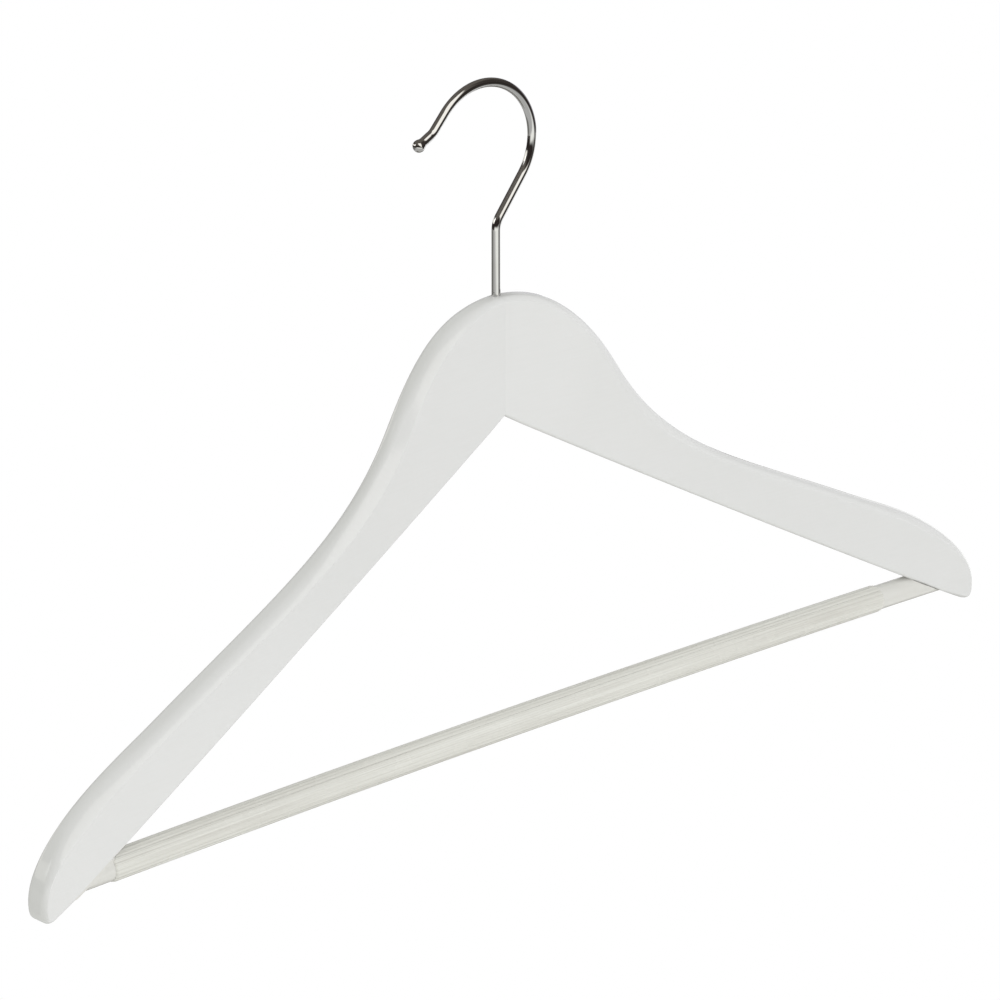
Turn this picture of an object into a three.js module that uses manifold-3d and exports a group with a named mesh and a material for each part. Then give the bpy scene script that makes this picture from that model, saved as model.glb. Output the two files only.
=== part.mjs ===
// Wooden shirt hanger: two glued arms, a turning wire hook and a trouser bar in a ribbed sleeve.
// Millimetres, +Z up, +X to the right as seen from the front, which is towards -Y.
// The origin is on the inside of the hook's bow, straight above the shank, where a rail carries the hanger.

import * as THREE from 'three';
import { mergeVertices } from 'three/addons/utils/BufferGeometryUtils.js';
import Module from 'manifold-3d';

const wasm = await Module();
wasm.setup();

// Body
const OVERALL_WIDTH = 450; // from tip to tip
const ARM_ANGLE = 6.3; // degrees that each half is turned forward
const ARM_THICKNESS = 10.5; // front to back
const EDGE_RADIUS = 1.2; // rounding between the faces and the edges
const TOP_CROWN = 1.1; // rise of the upper edge from its corners to its middle
const CROWN_HEIGHT = 45; // from the notch under the hook to the top of the body
const CROWN_REACH = 30.3; // how far the top runs level before it falls away
const UNDERSIDE_FALL = 30; // degrees, at the notch
const UNDERSIDE_RADIUS = 6000; // of the slow upward curve along the underside

// Upper outline: depth of wood over the underside, and the fall in degrees, at two places along an arm
const NECK_ALONG = 53.9;
const NECK_DEPTH = 36.7;
const NECK_FALL = 58.2;
const NECK_PULL_IN = 16;
const NECK_PULL_OUT = 40;
const SHOULDER_ALONG = 167;
const SHOULDER_DEPTH = 25.6;
const SHOULDER_FALL = 26.3;
const SHOULDER_PULL_IN = 66.8;
const SHOULDER_PULL_OUT = 18;

// Tip of an arm
const NOSE_RISE = 8.4; // from the underside's line to where the nose stands upright
const NOSE_PULL = 23.7;
const TIP_ROUND = 6.6; // where the rounded lower corner starts, back from the tip

// Joint between the halves
const GLUE_LINE = 0.3;
const TONGUE_THICKNESS = 6.2;
const TONGUE_LENGTH = 10;
const TONGUE_MARGIN = 7; // wood above and below the tongue
const TONGUE_ROOT = 2; // overlap with the half that carries the tongue

// Hook
const WIRE_DIAMETER = 3.3;
const KNEE_RISE = 27.2; // from the top of the body to the knee
const KNEE_RADIUS = 8;
const BOW_RADIUS = 23; // to the middle of the wire
const BOW_RISE = 29.9; // from the knee to the middle of the bow
const BOW_OFFSET = 6.2; // of the bow's middle from the shank
const BOW_END = 148; // degrees round the bow where the tip turns out
const FLARE_RADIUS = 9;
const FLARE_TURN = 29; // degrees
const FLARE_LENGTH = 6.2;
const BALL_DIAMETER = 4.6;

// Threaded end of the hook and its bore
const SHANK_DEPTH = 25; // of the hook in the body
const THREAD_LENGTH = 15;
const THREAD_PITCH = 1.5;
const THREAD_DIAMETER = 4.4;
const THREAD_ROOT = 3.2;
const THREAD_RUNOUT = 1; // plain stretch between the thread and the collar
const COLLAR_LENGTH = 1.2;
const COLLAR_OVERLAP = 0.6; // of the wire in the collar over the thread
const BORE_CLEARANCE = 0.25;
const BORE_SPARE = 1; // free depth under the hook
const BORE_RUN_THROUGH = 5; // of the cut past the top of the body

// Trouser bar
const BAR_DIAMETER = 9.6;
const BAR_BOW = 2; // rise of its middle over its ends
const BAR_INSET = 23.3; // along the arm, from the tip to the bar's middle on the underside
const TENON_DIAMETER = 6;
const TENON_END_WOOD = 12; // wood left between the tenon and the tip
const FIT_GAP = 0.3; // between glued pieces

// Sleeve on the bar
const SLEEVE_FIT = 0.1; // radial, on the bar
const SLEEVE_WALL = 0.45; // at the ribs
const SLEEVE_BARE_LEFT = 8.8; // bar left bare beside the arm, on the bar's middle line
const SLEEVE_BARE_RIGHT = 24.3;
const RIB_COUNT = 20;
const RIB_HEIGHT = 0.14;
const SLIT_WIDTH = 0.45;
const SLIT_ANGLE = 56; // degrees up from the front

// Fineness of the round faces
const OUTLINE_STEPS = 18; // for each of the curves round an arm
const TIP_STEPS = 9;
const CORNER_STEPS = 3;
const CROWN_ROWS = [0.5, 0, -0.5]; // shares of the flat between the corners
const HALF_WIRE_SIDES = 8;
const WIRE_SIDES = 2 * HALF_WIRE_SIDES;
const WIRE_STEPS = 78;
const BAR_SIDES = 40;
const BAR_STEPS = 8;
const RIB_STEPS = 6;

const radians = THREE.MathUtils.degToRad;

// Closed geometry to a solid that can be cut and joined
function toSolid(geometry) {
  const bare = geometry.clone();
  bare.deleteAttribute('normal');
  bare.deleteAttribute('uv');
  const merged = mergeVertices(bare, 1e-5);
  return new wasm.Manifold(new wasm.Mesh({
    numProp: 3,
    vertProperties: Float32Array.from(merged.attributes.position.array),
    triVerts: Uint32Array.from(merged.index.array),
  }));
}

function toGeometry(solid) {
  const mesh = solid.getMesh();
  const geometry = new THREE.BufferGeometry();
  geometry.setAttribute('position', new THREE.BufferAttribute(mesh.vertProperties, 3));
  geometry.setIndex(new THREE.BufferAttribute(mesh.triVerts, 1));
  geometry.computeVertexNormals();
  return geometry;
}

// Body of two halves. "along" runs from the centre line to the tip, "up" from the notch.
const armTurn = radians(ARM_ANGLE);
const armLength = OVERALL_WIDTH / 2 / Math.cos(armTurn);

function undersideUp(along) {
  return -along * Math.tan(radians(UNDERSIDE_FALL)) + along ** 2 / (2 * UNDERSIDE_RADIUS);
}

function undersideSlope(along) {
  return -Math.tan(radians(UNDERSIDE_FALL)) + along / UNDERSIDE_RADIUS;
}

function stepBack(point, fall, distance) {
  return new THREE.Vector2(point.x - distance * Math.cos(fall), point.y + distance * Math.sin(fall));
}

// Upper edge from the middle of the crown to the upright of the nose
function upperEdge() {
  const top = new THREE.Vector2(0, CROWN_HEIGHT);
  const neck = new THREE.Vector2(NECK_ALONG, undersideUp(NECK_ALONG) + NECK_DEPTH);
  const shoulder = new THREE.Vector2(SHOULDER_ALONG, undersideUp(SHOULDER_ALONG) + SHOULDER_DEPTH);
  const nose = new THREE.Vector2(armLength, undersideUp(armLength) + NOSE_RISE);
  const neckFall = radians(NECK_FALL);
  const shoulderFall = radians(SHOULDER_FALL);
  const path = new THREE.Path();
  path.moveTo(top.x, top.y);
  const leaveTop = new THREE.Vector2(CROWN_REACH, CROWN_HEIGHT);
  const enterNeck = stepBack(neck, neckFall, NECK_PULL_IN);
  path.bezierCurveTo(leaveTop.x, leaveTop.y, enterNeck.x, enterNeck.y, neck.x, neck.y);
  const leaveNeck = stepBack(neck, neckFall, -NECK_PULL_OUT);
  const enterShoulder = stepBack(shoulder, shoulderFall, SHOULDER_PULL_IN);
  path.bezierCurveTo(leaveNeck.x, leaveNeck.y, enterShoulder.x, enterShoulder.y, shoulder.x, shoulder.y);
  const leaveShoulder = stepBack(shoulder, shoulderFall, -SHOULDER_PULL_OUT);
  path.bezierCurveTo(leaveShoulder.x, leaveShoulder.y, nose.x, nose.y + NOSE_PULL, nose.x, nose.y);
  return path.getPoints(OUTLINE_STEPS);
}

// Rounded lower corner of the tip, then the underside back to the notch
function lowerEdge() {
  const path = new THREE.Path();
  path.moveTo(armLength, undersideUp(armLength) + NOSE_RISE);
  const start = armLength - TIP_ROUND;
  path.quadraticCurveTo(armLength, undersideUp(armLength), start, undersideUp(start));
  const corner = path.getPoints(TIP_STEPS).slice(1);
  const underside = [];
  for (let i = 1; i <= OUTLINE_STEPS; i += 1) {
    const along = start * (1 - i / OUTLINE_STEPS);
    underside.push(new THREE.Vector2(along, undersideUp(along)));
  }
  return { corner, underside };
}

// Closed outline, with the outward direction and the share of the top's crowning at each point
function armOutline() {
  const upper = upperEdge();
  const { corner, underside } = lowerEdge();
  const points = [...upper, ...corner, ...underside];
  const crowning = [
    ...upper.map(() => 1),
    ...corner.map((_, i) => 1 - (i + 1) / corner.length),
    ...underside.map(() => 0),
  ];
  return points.map((point, i) => {
    const before = points[Math.max(i - 1, 0)];
    const after = points[Math.min(i + 1, points.length - 1)];
    const onJoint = i === 0 || i === points.length - 1;
    const outward = new THREE.Vector2(before.y - after.y, after.x - before.x).normalize();
    if (onJoint) outward.set(0, Math.sign(outward.y));
    return { point, outward, crowning: crowning[i], onJoint };
  });
}

// Rim of an arm from front to back: distance in front of the middle and how far the corner is drawn in
function rimRows() {
  const half = ARM_THICKNESS / 2;
  const corner = [];
  for (let i = 0; i <= CORNER_STEPS; i += 1) {
    const turn = (Math.PI / 2) * (i / CORNER_STEPS);
    corner.push({
      ahead: half - EDGE_RADIUS * (1 - Math.cos(turn)),
      drawnIn: EDGE_RADIUS * (1 - Math.sin(turn)),
    });
  }
  const middle = CROWN_ROWS.map((share) => ({ ahead: share * (half - EDGE_RADIUS), drawnIn: 0 }));
  const back = corner.map((row) => ({ ahead: -row.ahead, drawnIn: row.drawnIn })).reverse();
  return [...corner, ...middle, ...back];
}

// One half, side +1 to the right and -1 to the left, with its end on the centre plane
function armBlank(side) {
  const outline = armOutline();
  const half = ARM_THICKNESS / 2;
  const rows = rimRows().map(({ ahead, drawnIn }) => outline.map((rim) => {
    const inset = drawnIn + rim.crowning * TOP_CROWN * (ahead / half) ** 2;
    const flat = rim.point.clone().addScaledVector(rim.outward, -inset);
    if (rim.onJoint) flat.x = ahead * Math.tan(armTurn) + GLUE_LINE / 2 / Math.cos(armTurn);
    return { flat, ahead };
  }));
  const positions = [];
  for (const { flat, ahead } of rows.flat()) {
    const x = side * (flat.x * Math.cos(armTurn) - ahead * Math.sin(armTurn));
    const y = -flat.x * Math.sin(armTurn) - ahead * Math.cos(armTurn);
    positions.push(x, y, flat.y);
  }
  const count = outline.length;
  const index = [];
  const face = (a, b, c) => index.push(...(side > 0 ? [a, b, c] : [a, c, b]));
  for (let row = 0; row < rows.length - 1; row += 1) {
    for (let i = 0; i < count; i += 1) {
      const a = row * count + i;
      const b = row * count + ((i + 1) % count);
      face(a, b, b + count);
      face(a, b + count, a + count);
    }
  }
  const last = (rows.length - 1) * count;
  const cap = (row) => THREE.ShapeUtils.triangulateShape(row.map(({ flat }) => flat), []);
  for (const [a, b, c] of cap(rows[0])) face(a, b, c);
  for (const [a, b, c] of cap(rows[rows.length - 1])) face(last + a, last + c, last + b);
  const geometry = new THREE.BufferGeometry();
  geometry.setAttribute('position', new THREE.Float32BufferAttribute(positions, 3));
  geometry.setIndex(index);
  return geometry;
}

// Tongue of the left half, or the groove for it, larger all round by the gap
function tongue(gap) {
  const low = TONGUE_MARGIN - gap;
  const high = CROWN_HEIGHT - TONGUE_MARGIN + gap;
  const length = TONGUE_LENGTH + TONGUE_ROOT + gap;
  const box = new THREE.BoxGeometry(length, TONGUE_THICKNESS + 2 * gap, high - low);
  box.translate(length / 2 - TONGUE_ROOT, 0, (low + high) / 2);
  return box;
}

// Revolved lower end of the hook, or its bore, larger all round by the clearance
function threadedEnd(clearance, spare) {
  const bottom = CROWN_HEIGHT - SHANK_DEPTH;
  const crest = THREAD_DIAMETER / 2 + clearance;
  const root = THREAD_ROOT / 2 + clearance;
  const turns = Math.round(THREAD_LENGTH / THREAD_PITCH);
  const pitch = THREAD_LENGTH / turns;
  const profile = [new THREE.Vector2(0, bottom - spare), new THREE.Vector2(root, bottom - spare)];
  for (let i = 0; i < turns; i += 1) {
    profile.push(new THREE.Vector2(root, bottom + pitch * i));
    profile.push(new THREE.Vector2(crest, bottom + pitch * (i + 0.5)));
  }
  const collar = bottom + THREAD_LENGTH + THREAD_RUNOUT;
  const end = collar + COLLAR_LENGTH + spare;
  profile.push(new THREE.Vector2(root, bottom + THREAD_LENGTH));
  profile.push(new THREE.Vector2(root, collar - clearance));
  profile.push(new THREE.Vector2(crest, collar - clearance));
  profile.push(new THREE.Vector2(crest, end));
  profile.push(new THREE.Vector2(0, end));
  const distinct = profile.filter((point, i) => i === 0 || !point.equals(profile[i - 1]));
  const lathe = new THREE.LatheGeometry(distinct, WIRE_SIDES);
  return lathe.rotateX(Math.PI / 2);
}

function hookBore() {
  const from = CROWN_HEIGHT - SHANK_DEPTH + THREAD_LENGTH;
  const length = CROWN_HEIGHT - from + BORE_RUN_THROUGH;
  const radius = WIRE_DIAMETER / 2 + BORE_CLEARANCE;
  const neck = new THREE.CylinderGeometry(radius, radius, length, WIRE_SIDES).rotateX(Math.PI / 2);
  neck.translate(0, 0, from + length / 2);
  return toSolid(neck).add(toSolid(threadedEnd(BORE_CLEARANCE, BORE_SPARE)));
}

// Place of the trouser bar: its middle line meets the underside here, half way through the arms
const barAlong = armLength - BAR_INSET;
const barUp = undersideUp(barAlong);
const tenonLength = BAR_INSET - TENON_END_WOOD;
const barAhead = (barAlong + tenonLength / 2) * Math.sin(armTurn);
const barEnd = barAlong * Math.cos(armTurn);
const tenonEnd = barEnd + tenonLength;

function alongX(radius, from, to, steps) {
  const rod = new THREE.CylinderGeometry(radius, radius, to - from, BAR_SIDES, steps).rotateZ(Math.PI / 2);
  return rod.translate((from + to) / 2, -barAhead, barUp);
}

// Lifts a straight piece on the bar's line into the bar's bow
function bowed(geometry) {
  const position = geometry.attributes.position;
  for (let i = 0; i < position.count; i += 1) {
    const share = position.getX(i) / barEnd;
    position.setZ(i, position.getZ(i) + BAR_BOW * (1 - share ** 2));
  }
  return geometry;
}

function arm(side) {
  let solid = toSolid(armBlank(side));
  if (side < 0) solid = solid.add(toSolid(tongue(0)));
  else solid = solid.subtract(toSolid(tongue(FIT_GAP)));
  const socketEnd = tenonEnd + FIT_GAP;
  const socketMouth = barEnd - BAR_DIAMETER;
  const reach = side > 0 ? [socketMouth, socketEnd] : [-socketEnd, -socketMouth];
  const socket = alongX(TENON_DIAMETER / 2 + FIT_GAP, ...reach, 1);
  return toGeometry(solid.subtract(hookBore()).subtract(toSolid(socket)));
}

// Block that trims the bar and its sleeve to the slope of the underside, a gap below it
function barTrim(side) {
  const slope = Math.atan(undersideSlope(barAlong));
  const size = 3 * BAR_DIAMETER; // ample, so that nothing of the rod is left past the trim
  const block = new THREE.BoxGeometry(size, size, size);
  block.translate(0, 0, size / 2 - FIT_GAP);
  block.rotateY(-side * slope);
  block.translate(side * barAlong, 0, barUp);
  block.rotateZ(-side * armTurn);
  return toSolid(block);
}

function trouserBar() {
  const blankEnd = barEnd + BAR_DIAMETER;
  const rod = toSolid(bowed(alongX(BAR_DIAMETER / 2, -blankEnd, blankEnd, BAR_STEPS)));
  const trimmed = rod.subtract(barTrim(1)).subtract(barTrim(-1));
  const tenon = TENON_DIAMETER / 2;
  const leftTenon = toSolid(alongX(tenon, -tenonEnd, -barEnd + BAR_DIAMETER, 1));
  const rightTenon = toSolid(alongX(tenon, barEnd - BAR_DIAMETER, tenonEnd, 1));
  return toGeometry(trimmed.add(leftTenon).add(rightTenon));
}

// Split tube with ribs along it, drawn as seen from the right-hand end. Its left end comes up to the arm.
function barSleeve() {
  const inner = BAR_DIAMETER / 2 + SLEEVE_FIT;
  const outer = inner + SLEEVE_WALL;
  const slit = SLIT_WIDTH / outer;
  const start = radians(SLIT_ANGLE) + slit / 2;
  const sweep = 2 * Math.PI - slit;
  const steps = RIB_COUNT * RIB_STEPS;
  const polar = (radius, angle) => new THREE.Vector2(radius * Math.cos(angle), radius * Math.sin(angle));
  const outside = [];
  const inside = [];
  for (let i = 0; i <= steps; i += 1) {
    const angle = start + (sweep * i) / steps;
    const wave = (1 - Math.cos((2 * Math.PI * i) / RIB_STEPS)) / 2;
    outside.push(polar(outer - RIB_HEIGHT * (1 - wave), angle));
    if (i % 2 === 0) inside.push(polar(inner, angle));
  }
  const section = new THREE.Shape([...outside, ...inside.reverse()]);
  const right = barEnd - SLEEVE_BARE_RIGHT;
  const left = SLEEVE_BARE_LEFT - barEnd;
  const tube = new THREE.ExtrudeGeometry(section, {
    depth: right - left,
    steps: BAR_STEPS,
    bevelEnabled: false,
  });
  const front = new THREE.Vector3(0, -1, 0);
  const up = new THREE.Vector3(0, 0, 1);
  const leftwards = new THREE.Vector3(-1, 0, 0);
  tube.applyMatrix4(new THREE.Matrix4().makeBasis(front, up, leftwards));
  const placed = toSolid(bowed(tube.translate(right, -barAhead, barUp)));
  return toGeometry(placed.subtract(barTrim(1)).subtract(barTrim(-1)));
}

// Arc in the hanger's centre plane, angles in radians up from +X
class PlaneArc extends THREE.Curve {
  constructor(middle, radius, from, to) {
    super();
    this.middle = middle;
    this.radius = radius;
    this.from = from;
    this.to = to;
  }

  getPoint(t, target = new THREE.Vector3()) {
    const angle = this.from + (this.to - this.from) * t;
    const x = this.middle.x + this.radius * Math.cos(angle);
    return target.set(x, 0, this.middle.z + this.radius * Math.sin(angle));
  }
}

const knee = new THREE.Vector3(0, 0, CROWN_HEIGHT + KNEE_RISE);
const bowMiddle = new THREE.Vector3(-BOW_OFFSET, 0, knee.z + BOW_RISE);

// Middle line of the wire, from the thread's collar to the middle of the ball
function wirePath() {
  const reach = Math.hypot(BOW_OFFSET, BOW_RISE);
  const lean = Math.asin(BOW_RADIUS / reach) - Math.atan2(BOW_OFFSET, BOW_RISE);
  const trim = KNEE_RADIUS * Math.tan(lean / 2);
  const kneeMiddle = new THREE.Vector3(KNEE_RADIUS, 0, knee.z - trim);
  const kneeArc = new PlaneArc(kneeMiddle, KNEE_RADIUS, Math.PI, Math.PI - lean);
  const bowArc = new PlaneArc(bowMiddle, BOW_RADIUS, -lean, radians(BOW_END));
  const bowTip = bowArc.getPoint(1);
  const outward = new THREE.Vector3(Math.cos(radians(BOW_END)), 0, Math.sin(radians(BOW_END)));
  const flareMiddle = bowTip.clone().addScaledVector(outward, FLARE_RADIUS);
  const flareStart = radians(BOW_END) + Math.PI;
  const flareArc = new PlaneArc(flareMiddle, FLARE_RADIUS, flareStart, flareStart - radians(FLARE_TURN));
  const flareEnd = flareArc.getPoint(1);
  const ball = flareEnd.clone().addScaledVector(flareArc.getTangent(1), FLARE_LENGTH);
  const collarTop = CROWN_HEIGHT - SHANK_DEPTH + THREAD_LENGTH + THREAD_RUNOUT + COLLAR_LENGTH;
  const path = new THREE.CurvePath();
  path.add(new THREE.LineCurve3(new THREE.Vector3(0, 0, collarTop - COLLAR_OVERLAP), kneeArc.getPoint(0)));
  path.add(kneeArc);
  path.add(new THREE.LineCurve3(kneeArc.getPoint(1), bowArc.getPoint(0)));
  path.add(bowArc);
  path.add(flareArc);
  path.add(new THREE.LineCurve3(flareEnd, ball));
  return { path, ball };
}

function hook() {
  const { path, ball } = wirePath();
  const section = new THREE.Shape().absarc(0, 0, WIRE_DIAMETER / 2, 0, 2 * Math.PI);
  const wire = new THREE.ExtrudeGeometry(section, {
    extrudePath: path,
    steps: WIRE_STEPS,
    curveSegments: HALF_WIRE_SIDES,
  });
  const tip = new THREE.SphereGeometry(BALL_DIAMETER / 2, WIRE_SIDES, HALF_WIRE_SIDES);
  tip.translate(ball.x, ball.y, ball.z);
  return toGeometry(toSolid(wire).add(toSolid(tip)).add(toSolid(threadedEnd(0, 0))));
}

// Finishes
const lacquer = { color: 0xe4e4e2, roughness: 0.42, metalness: 0 };
const chrome = { color: 0xd9dadb, roughness: 0.06, metalness: 1 };
const clearVinyl = { color: 0xdcdcd2, roughness: 0.35, metalness: 0 };

function piece(name, geometry, finish) {
  const mesh = new THREE.Mesh(geometry, new THREE.MeshStandardMaterial(finish));
  mesh.name = name;
  return mesh;
}

// The rail touches the inside of the bow straight above the shank
const bowInside = BOW_RADIUS - WIRE_DIAMETER / 2;
const railSeat = bowMiddle.z + Math.sqrt(bowInside ** 2 - BOW_OFFSET ** 2);

const frame = new THREE.Group();
frame.add(piece('left_arm', arm(-1), lacquer));
frame.add(piece('right_arm', arm(1), lacquer));
frame.add(piece('trouser_bar', trouserBar(), lacquer));
frame.add(piece('bar_sleeve', barSleeve(), clearVinyl));

const hanger = new THREE.Group();
hanger.add(piece('hook', hook(), chrome));
hanger.add(frame);
hanger.position.z = -railSeat;

const part = new THREE.Group();
part.add(hanger);

export default part;
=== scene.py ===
"""Studio scene of a wooden shirt hanger: lacquered arms, chrome hook, trouser bar and clear sleeve.

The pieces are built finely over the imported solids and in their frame: +Z up, front towards -Y,
origin on the inside of the hook's bow, straight above the shank, where a rail carries the hanger.
Sizes are in millimetres from the notch under the crown, and become metres from the rail when a mesh
is made.
"""

import logging
import math
from collections.abc import Sequence
from dataclasses import dataclass
from enum import Enum

import bmesh
import bpy
from mathutils import Matrix, Vector


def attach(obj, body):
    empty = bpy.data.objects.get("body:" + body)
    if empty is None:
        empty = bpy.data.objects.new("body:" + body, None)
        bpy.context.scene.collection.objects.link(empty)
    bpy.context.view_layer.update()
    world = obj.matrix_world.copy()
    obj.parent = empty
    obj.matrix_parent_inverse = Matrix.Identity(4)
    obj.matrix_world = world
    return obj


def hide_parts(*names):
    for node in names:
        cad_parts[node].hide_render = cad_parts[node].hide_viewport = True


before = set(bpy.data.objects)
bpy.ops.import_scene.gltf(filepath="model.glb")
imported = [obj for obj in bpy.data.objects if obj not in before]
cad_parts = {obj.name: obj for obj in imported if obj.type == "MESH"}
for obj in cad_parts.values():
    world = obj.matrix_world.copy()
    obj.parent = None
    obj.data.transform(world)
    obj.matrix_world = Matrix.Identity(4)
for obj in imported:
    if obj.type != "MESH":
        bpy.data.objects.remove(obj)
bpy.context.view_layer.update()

MM = 0.001
SHARP_ANGLE = math.radians(35.0)  # an edge between faces that turn more than this stays crisp
GRAIN_MAP = "Grain"  # UV layer in metres: along the piece, then across it
MOST_NOISE = (0.3, 0.7)  # most values of a noise pattern lie between these
HOOK_MIDDLE = Vector((0.0, 0.0, -0.03))
HANGER_MIDDLE = Vector((0.0, 0.0, -0.15))
WHITE = "#FFFFFF"
SOFT_EDGE = (0.3, 0.3)  # shares of a card over which its edges fade

Tree = bpy.types.NodeTree
Socket = bpy.types.NodeSocket
Material = bpy.types.Material
Piece = bpy.types.Object
Range = tuple[Socket | float, Socket | float]
Pair = tuple[float, float]
Corner = tuple[Vector, Pair]  # its place, and its place in the grain map, in metres
BarRing = tuple[float, float, list[float]]  # radius, share of the joint's fill, place of corners

log = logging.getLogger("hanger")


class Body(Enum):
    """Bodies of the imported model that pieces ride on."""

    HOOK = "hook"
    FRAME = "frame"


class Slot(Enum):
    """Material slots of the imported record."""

    CHROME = "chrome_wire"
    LACQUER = "white_lacquer"
    BAR = "white_bar"
    SLEEVE = "clear_sleeve"


class Side(Enum):
    """The two halves of the hanger, as seen from the front."""

    LEFT = -1
    RIGHT = 1


# Colours, directions and angles


def linear(code: str) -> tuple[float, float, float, float]:
    """Turns an sRGB hex colour into linear light.

    Args:
        code: colour such as "#E8E8E6".

    Returns:
        Linear red, green, blue and an alpha of 1.
    """
    values = [int(code[i:i + 2], 16) / 255 for i in (1, 3, 5)]
    light = [v / 12.92 if v <= 0.04045 else ((v + 0.055) / 1.055) ** 2.4 for v in values]
    return (light[0], light[1], light[2], 1.0)


def towards(bearing: float, height: float) -> Vector:
    """Gives the way to a place in the studio.

    Args:
        bearing: degrees to the right of straight in front.
        height: degrees over the horizon.

    Returns:
        A vector of length 1.
    """
    turn, rise = math.radians(bearing), math.radians(height)
    level = math.cos(rise)
    return Vector((math.sin(turn) * level, -math.cos(turn) * level, math.sin(rise)))


def round_turns(count: int) -> list[float]:
    """Gives even angles for one turn."""
    return [2 * math.pi * i / count for i in range(count)]


def ease(share: float) -> float:
    """Eases a share in at 0 and out at 1, and holds it there."""
    share = min(max(share, 0.0), 1.0)
    return share * share * (3 - 2 * share)


# Nodes


def new_material(name: str) -> tuple[Material, Tree]:
    """Makes an empty node material.

    Args:
        name: name of the material.

    Returns:
        The material and its node tree, which holds no nodes yet.
    """
    material = bpy.data.materials.new(name)
    material.use_nodes = True
    material.node_tree.nodes.clear()
    return material, material.node_tree


def add_node(
    tree: Tree, kind: str, inputs: dict | None = None, **settings: object
) -> bpy.types.Node:
    """Adds one node with its settings, values and links.

    Args:
        tree: node tree to add to.
        kind: Blender's identifier of the node.
        inputs: input name or number, with the value to set or the output to link.
        settings: attributes of the node itself.

    Returns:
        The new node.
    """
    node = tree.nodes.new(kind)
    for name, value in settings.items():
        setattr(node, name, value)
    for key, value in (inputs or {}).items():
        if isinstance(value, Socket):
            tree.links.new(value, node.inputs[key])
        else:
            node.inputs[key].default_value = value
    return node


def calc(tree: Tree, operation: str, *values: Socket | float) -> Socket:
    """Adds a sum, named as Blender names it."""
    sum_node = add_node(tree, "ShaderNodeMath", dict(enumerate(values)), operation=operation)
    return sum_node.outputs[0]


def spread(
    tree: Tree, value: Socket, given: Range, wanted: Range = (0.0, 1.0), **settings: object
) -> Socket:
    """Spreads the given range of a value over the wanted one, and holds the ends."""
    inputs = dict(enumerate((value, *given, *wanted)))
    return add_node(tree, "ShaderNodeMapRange", inputs, **settings).outputs[0]


def mix_colours(tree: Tree, share: Socket, first: str, second: str) -> Socket:
    """Mixes two hex colours by the share of the second."""
    inputs = {0: share, 6: linear(first), 7: linear(second)}
    return add_node(tree, "ShaderNodeMix", inputs, data_type="RGBA").outputs[2]


def grain_place(tree: Tree) -> Socket:
    """Gives the place in the grain map."""
    return add_node(tree, "ShaderNodeUVMap", uv_map=GRAIN_MAP).outputs["UV"]


def drawn_out(tree: Tree, stretch: float) -> Socket:
    """Gives the place for a pattern whose features have this width over their length."""
    inputs = {0: grain_place(tree), 1: (stretch, 1.0, 1.0)}
    return add_node(tree, "ShaderNodeVectorMath", inputs, operation="MULTIPLY").outputs[0]


def noise(
    tree: Tree, place: Socket, size: float, detail: float, roughness: float = 0.5
) -> Socket:
    """Adds a cloudy pattern whose features are this many millimetres across."""
    inputs = {"Vector": place, "Scale": 1 / (size * MM), "Detail": detail, "Roughness": roughness}
    return add_node(tree, "ShaderNodeTexNoise", inputs).outputs["Fac"]


def bump(tree: Tree, pattern: Socket, height: float, **below: Socket) -> Socket:
    """Adds a fine relief, this many millimetres high, on the Normal below it if one is given."""
    inputs = {"Strength": 1.0, "Distance": height * MM, "Height": pattern, **below}
    return add_node(tree, "ShaderNodeBump", inputs).outputs[0]


def coat(tree: Tree, inputs: dict) -> None:
    """Adds the shader of a finish, and shows it."""
    shader = add_node(tree, "ShaderNodeBsdfPrincipled", inputs)
    add_node(tree, "ShaderNodeOutputMaterial", {"Surface": shader.outputs[0]})


# Meshes


def shade(data: bpy.types.Mesh, outward: bool) -> None:
    """Shades a mesh smooth and keeps the edges crisp where its faces turn sharply.

    Args:
        data: mesh to change.
        outward: whether to turn its faces outwards first.
    """
    mesh = bmesh.new()
    mesh.from_mesh(data)
    if outward:
        bmesh.ops.recalc_face_normals(mesh, faces=mesh.faces)
    for face in mesh.faces:
        face.smooth = True
    for edge in mesh.edges:
        edge.smooth = len(edge.link_faces) == 2 and edge.calc_face_angle() < SHARP_ANGLE
    mesh.to_mesh(data)
    mesh.free()


def make_piece(name: str, rings: Sequence[Sequence[Corner]], closed: bool = True) -> Piece:
    """Makes a mesh object from rings of corners, one after another.

    Args:
        name: name of the piece.
        rings: corners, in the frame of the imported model. Each ring has the same number of them.
        closed: whether each ring's last corner joins its first, with a face over both ends.

    Returns:
        The linked object, with outward faces and a grain map.
    """
    count = len(rings[0])
    corners = [corner for ring in rings for corner in ring]
    faces = []
    for first in range(0, len(corners) - count, count):
        for i in range(count if closed else count - 1):
            a, b = first + i, first + (i + 1) % count
            faces.append([a, b, b + count, a + count])
    if closed:
        faces += [list(range(count)), list(range(len(corners) - count, len(corners)))]
    data = bpy.data.meshes.new(name)
    data.from_pydata([tuple(place) for place, _ in corners], [], faces)
    layer = data.uv_layers.new(name=GRAIN_MAP)
    for loop in data.loops:
        layer.data[loop.index].uv = corners[loop.vertex_index][1]
    shade(data, outward=True)
    piece = bpy.data.objects.new(name, data)
    bpy.context.scene.collection.objects.link(piece)
    return piece


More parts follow.
